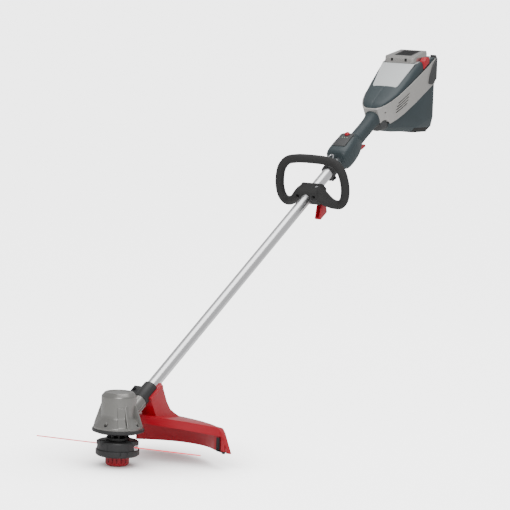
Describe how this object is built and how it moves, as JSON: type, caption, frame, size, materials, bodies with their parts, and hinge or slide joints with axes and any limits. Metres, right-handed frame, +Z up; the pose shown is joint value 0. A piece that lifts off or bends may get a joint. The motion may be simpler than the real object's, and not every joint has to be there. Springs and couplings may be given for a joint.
{
  "type": "string trimmer",
  "caption": "Battery string trimmer: a bump-feed line head and red guard on a straight shaft, with a loop handle, trigger grip and rear power head holding a lift-out battery.",
  "frame": {"origin": "centre of the flat underside of the bump knob, where the head touches the ground", "axes": "+Z up along the spin axis of the cutting head, +X towards the user, so +Y is the user's right"},
  "size_m": [1.4155, 0.442, 0.946],
  "materials": {
    "teal_plastic": "fine moulded grain",
    "silver_paint": "satin silver",
    "motor_metal": "satin painted casting",
    "light_grey": "smooth",
    "red_plastic": "semi-gloss",
    "black_plastic": "fine grain",
    "dark_grey": "fine grain",
    "soft_rubber": "matt",
    "steel": "satin",
    "tube_metal": "bright drawn tube",
    "copper_wire": "enamelled",
    "circuit": "potted",
    "line_nylon": "extruded line"
  },
  "bodies": {
    "frame": {"motor_skirt": "black_plastic", "motor_housing": "motor_metal", "bearing_upper": "steel", "bearing_lower": "steel", "stator_core": "steel", "winding_upper": "copper_wire", "winding_lower": "copper_wire", "shaft_collar": "black_plastic", "collar_screw": "steel", "guard": "red_plastic", "cutter_blade": "steel", "blade_screw": "steel", "shaft_tube": "tube_metal", "motor_cable": "soft_rubber", "harness_clamp": "black_plastic", "harness_screw": "steel", "pod_shell": "teal_plastic", "control_panel": "dark_grey", "trigger_pin": "steel", "trigger_switch": "black_plastic", "grip_shell": "teal_plastic", "grip_underside": "dark_grey", "side_band": "silver_paint", "nose_cover": "dark_grey", "lower_body": "teal_plastic", "base_pad": "soft_rubber", "hood": "teal_plastic", "top_deck": "light_grey", "rear_bumper_left": "soft_rubber", "rear_bumper_right": "soft_rubber", "motor_controller": "circuit", "terminal_block": "black_plastic"},
    "head": {"spool_cover": "black_plastic", "spool_case": "black_plastic", "eyelet_left": "steel", "eyelet_right": "steel", "cutting_line_left": "line_nylon", "cutting_line_right": "line_nylon", "cooling_fan": "black_plastic", "spindle": "steel", "spindle_nut": "steel", "rotor": "steel", "bump_spring": "steel"},
    "bump_feed": {"bump_knob": "red_plastic", "line_spool": "black_plastic", "wound_line": "line_nylon"},
    "front_handle": {"loop_handle": "black_plastic", "clamp_jaw": "black_plastic", "cam_bolt": "steel", "clamp_screw": "steel"},
    "cam": {"cam_lever": "red_plastic"},
    "strap_ring": {"harness_ring": "steel"},
    "throttle": {"trigger": "red_plastic"},
    "lock_off": {"lock_button": "red_plastic"},
    "battery": {"battery_case": "dark_grey", "battery_cap": "silver_paint", "battery_gauge": "black_plastic"},
    "latch": {"battery_latch": "red_plastic"}
  },
  "joints": [
    {"name": "head_spin", "type": "hinge", "parent": "frame", "child": "head", "pos_m": [0, 0, 0.06], "axis": [0, 0, 1], "continuous": true},
    {"name": "bump_feed_press", "type": "slide", "parent": "head", "child": "bump_feed", "axis": [0, 0, 1], "range_m": [0, 0.005], "stiffness_N_per_m": 2500, "deforming": ["bump_spring"]},
    {"name": "handle_slide", "type": "slide", "parent": "frame", "child": "front_handle", "axis": [0.8572, 0, 0.515], "range_m": [-0.08, 0.03]},
    {"name": "cam_lever_open", "type": "hinge", "parent": "front_handle", "child": "cam", "pos_m": [0.85145, -0.02, 0.56019], "axis": [0, -1, 0], "range_deg": [0, 100]},
    {"name": "strap_ring_swing", "type": "hinge", "parent": "frame", "child": "strap_ring", "pos_m": [0.90875, 0, 0.66287], "axis": [0, -1, 0], "range_deg": [-8, 120]},
    {"name": "trigger_pull", "type": "hinge", "parent": "frame", "child": "throttle", "pos_m": [1.0365, 0, 0.6871], "axis": [0, -1, 0], "range_deg": [0, 10], "stiffness_Nm_per_rad": 1.5},
    {"name": "lock_button_press", "type": "slide", "parent": "frame", "child": "lock_off", "axis": [0.515, 0, -0.8572], "range_m": [0, 0.003], "stiffness_N_per_m": 600},
    {"name": "battery_lift", "type": "slide", "parent": "frame", "child": "battery", "axis": [0, 0, 1], "range_m": [0, 0.17]},
    {"name": "battery_latch_press", "type": "slide", "parent": "frame", "child": "latch", "axis": [0, 0, -1], "range_m": [0, 0.004], "stiffness_N_per_m": 900}
  ]
}
